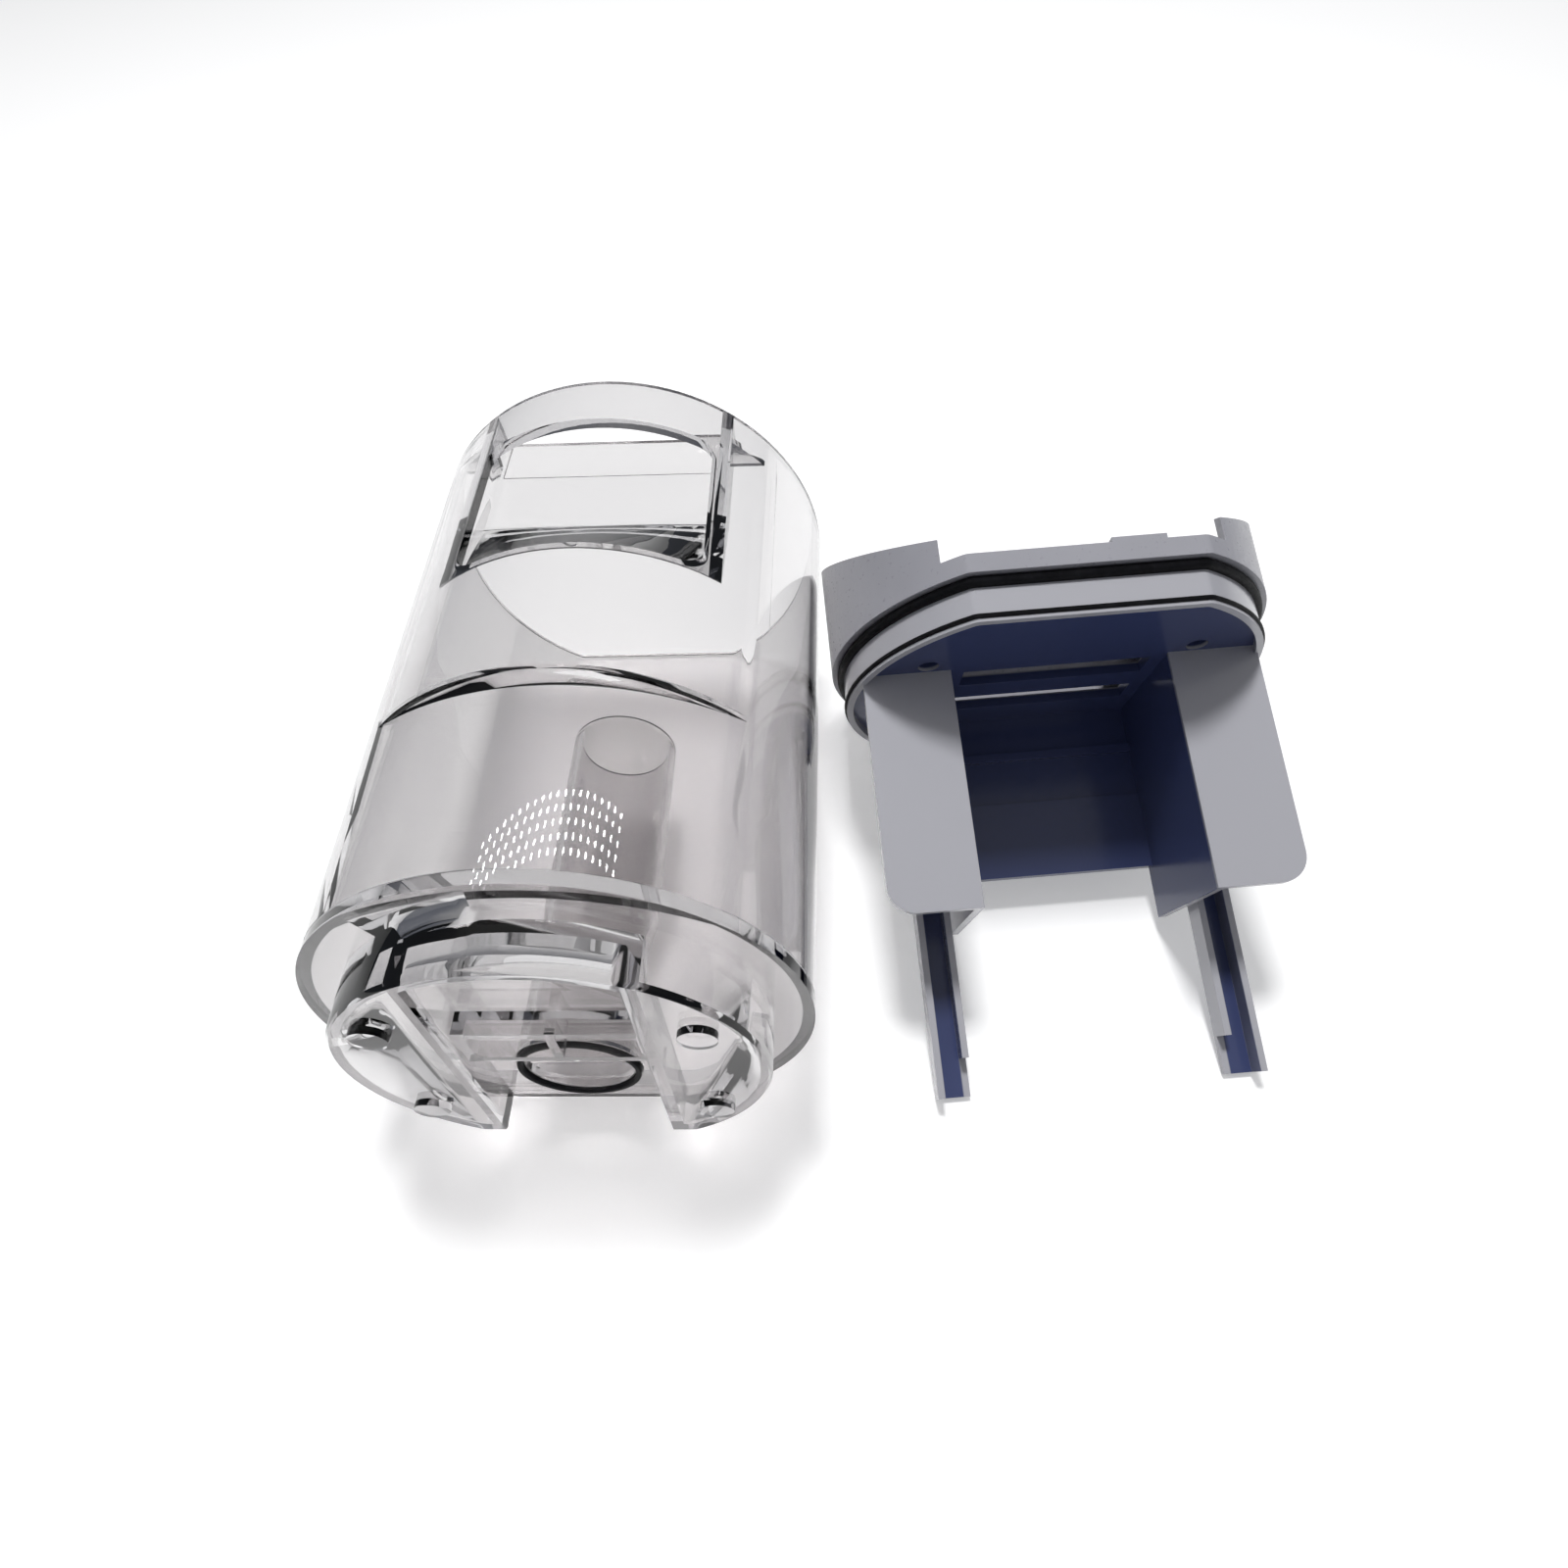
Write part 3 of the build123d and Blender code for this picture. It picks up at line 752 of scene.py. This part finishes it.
def pale_floor(stage):
    """A level white sheet that looks brighter than it lights its surroundings."""
    half = stage.floor_size / 2
    low = -stage.floor_gap
    corners = [(-half, -half, low), (half, -half, low), (half, half, low), (-half, half, low)]
    mesh = bpy.data.meshes.new("floor")
    mesh.from_pydata(corners, [], [(0, 1, 2, 3)])
    nodes = new_material("floor_white")
    matt = nodes.add("ShaderNodeBsdfDiffuse")
    matt.inputs["Color"].default_value = opaque(stage.floor_colour)
    lift = nodes.add("ShaderNodeEmission")
    path = nodes.add("ShaderNodeLightPath").outputs
    seen = nodes.fold("MAXIMUM", path["Is Camera Ray"], path["Is Transmission Ray"], path["Is Glossy Ray"])
    nodes.link(nodes.math("MULTIPLY", seen, stage.floor_lift), lift.inputs["Strength"])
    both = nodes.add("ShaderNodeAddShader")
    nodes.link(matt.outputs[0], both.inputs[0])
    nodes.link(lift.outputs[0], both.inputs[1])
    mesh.materials.append(nodes.finish(both))
    floor = bpy.data.objects.new("floor", mesh)
    bpy.context.scene.collection.objects.link(floor)


def soft_sky(stage):
    """A world that brightens from a dark horizon to a soft sky, with a plain backdrop for the camera."""
    nodes = Nodes(bpy.data.worlds.new("soft_sky"), "ShaderNodeOutputWorld")
    parts = nodes.add("ShaderNodeSeparateXYZ")
    nodes.link(nodes.add("ShaderNodeTexCoord").outputs["Generated"], parts.inputs["Vector"])
    upward = nodes.span(parts.outputs["Z"], stage.sky_fade, (0.0, 1.0), smooth=True)
    shade = nodes.blend(upward, opaque(stage.horizon), opaque([stage.sky] * 3))
    seen = nodes.add("ShaderNodeLightPath").outputs["Is Camera Ray"]
    background = nodes.add("ShaderNodeBackground")
    nodes.link(nodes.blend(seen, shade, opaque(stage.backdrop)), background.inputs["Color"])
    bpy.context.scene.world = nodes.finish(background)


def lamp_strips(stage):
    """Rows of small round lamps in a level plane, seen only in reflections.

    Lamp (i, j) is a disc of equal angles round the point that lies i steps across and j steps along.
    """
    lamps = stage.strip_rows * stage.strip_count
    across = np.linspace(-0.5, 0.5, stage.strip_count) * stage.strip_length
    along = np.linspace(-0.5, 0.5, stage.strip_rows) * stage.strip_depth
    x, y = np.meshgrid(across, along)
    round_angle = circle(stage.bulb_sides)
    discs = (
        x.reshape(-1, 1) + stage.bulb_radius * np.cos(round_angle),
        y.reshape(-1, 1) + stage.bulb_radius * np.sin(round_angle),
        np.zeros((lamps, stage.bulb_sides)),
    )
    points = np.stack(discs, axis=-1) + np.array(stage.strip_place)
    faces = np.arange(lamps * stage.bulb_sides).reshape(lamps, -1)
    mesh = bpy.data.meshes.new("lamp_strips")
    mesh.from_pydata(points.reshape(-1, 3).tolist(), [], faces.tolist())
    nodes = new_material("lamp_glow")
    glow = nodes.add("ShaderNodeEmission")
    glow.inputs["Strength"].default_value = stage.strip_glow
    mesh.materials.append(nodes.finish(glow))
    strips = bpy.data.objects.new("lamp_strips", mesh)
    bpy.context.scene.collection.objects.link(strips)
    strips.visible_camera = False
    strips.visible_diffuse = False
    strips.visible_transmission = False
    strips.visible_shadow = False


def soft_lamp(stage):
    """A square lamp overhead that looks at the origin and isn't mirrored."""
    lamp = bpy.data.lights.new("soft_lamp", "AREA")
    lamp.size = stage.lamp_size
    lamp.energy = stage.lamp_power
    holder = bpy.data.objects.new("soft_lamp", lamp)
    bpy.context.scene.collection.objects.link(holder)
    holder.location = stage.lamp_place
    holder.rotation_euler = (-Vector(stage.lamp_place)).to_track_quat("-Z", "Y").to_euler()
    holder.visible_glossy = False


def photo_camera(stage):
    """A camera at the photograph's viewing angle."""
    camera = bpy.data.cameras.new("camera")
    camera.lens = stage.lens
    camera.sensor_width = stage.sensor_width
    camera.clip_start = stage.clip_start
    viewer = bpy.data.objects.new("camera", camera)
    bpy.context.scene.collection.objects.link(viewer)
    forward = Vector(stage.camera_forward).normalized()
    right = forward.cross(Vector(stage.camera_up)).normalized()
    up = right.cross(forward)
    turn = Matrix((right, up, -forward)).transposed()
    viewer.matrix_world = Matrix.Translation(Vector(stage.camera_place)) @ turn.to_4x4()
    bpy.context.scene.camera = viewer


class TANK_OT_stage(bpy.types.Operator):
    """Makes the pale floor, the soft light and the camera"""

    bl_idname = "tank.stage"
    bl_label = "Stage"

    def execute(self, context):
        stage = settings().stage
        pale_floor(stage)
        soft_sky(stage)
        lamp_strips(stage)
        soft_lamp(stage)
        photo_camera(stage)
        context.scene.view_settings.view_transform = "Standard"
        # light crosses many clear walls before it reaches the table
        cycles = context.scene.cycles
        cycles.max_bounces = stage.light_bounces
        cycles.transmission_bounces = stage.light_bounces
        cycles.transparent_max_bounces = stage.light_bounces
        return {"FINISHED"}


class LooksSettings(bpy.types.PropertyGroup):
    """All settings of the looks."""

    tank: PointerProperty(name="Tank", description="Clear tank", type=TankSettings)
    inlet: PointerProperty(name="Inlet", description="Riser pipe and port seal", type=InletSettings)
    lid: PointerProperty(name="Lid", description="Lid insert", type=LidSettings)
    stage: PointerProperty(name="Stage", description="Floor, light and camera", type=StageSettings)


class TANK_PT_looks(bpy.types.Panel):
    """Settings and steps of the tank's looks"""

    bl_idname = "TANK_PT_looks"
    bl_label = "Dirty water tank"
    bl_space_type = "VIEW_3D"
    bl_region_type = "UI"
    bl_category = "Tank"

    def draw(self, context):
        looks = context.scene.tank_looks
        for group in (looks.tank, looks.inlet, looks.lid, looks.stage):
            column = self.layout.column(align=True)
            for key in group.__annotations__:
                column.prop(group, key)
        for step in STEPS:
            self.layout.operator(step.bl_idname)


SETTINGS = (TankSettings, InletSettings, LidSettings, StageSettings, LooksSettings)
STEPS = (TANK_OT_shell, TANK_OT_inlet, TANK_OT_lid, TANK_OT_seals, TANK_OT_screws, TANK_OT_stage)
CLASSES = SETTINGS + STEPS + (TANK_PT_looks,)


def register():
    """Adds the classes and the settings."""
    for cls in CLASSES:
        bpy.utils.register_class(cls)
    bpy.types.Scene.tank_looks = PointerProperty(type=LooksSettings)


def unregister():
    """Takes the settings and the classes away again."""
    del bpy.types.Scene.tank_looks
    for cls in reversed(CLASSES):
        bpy.utils.unregister_class(cls)


def main():
    """Builds every piece and the stage."""
    register()
    bpy.ops.tank.shell()
    bpy.ops.tank.inlet()
    bpy.ops.tank.lid()
    bpy.ops.tank.seals()
    bpy.ops.tank.screws()
    bpy.ops.tank.stage()


if __name__ == "__main__":
    main()
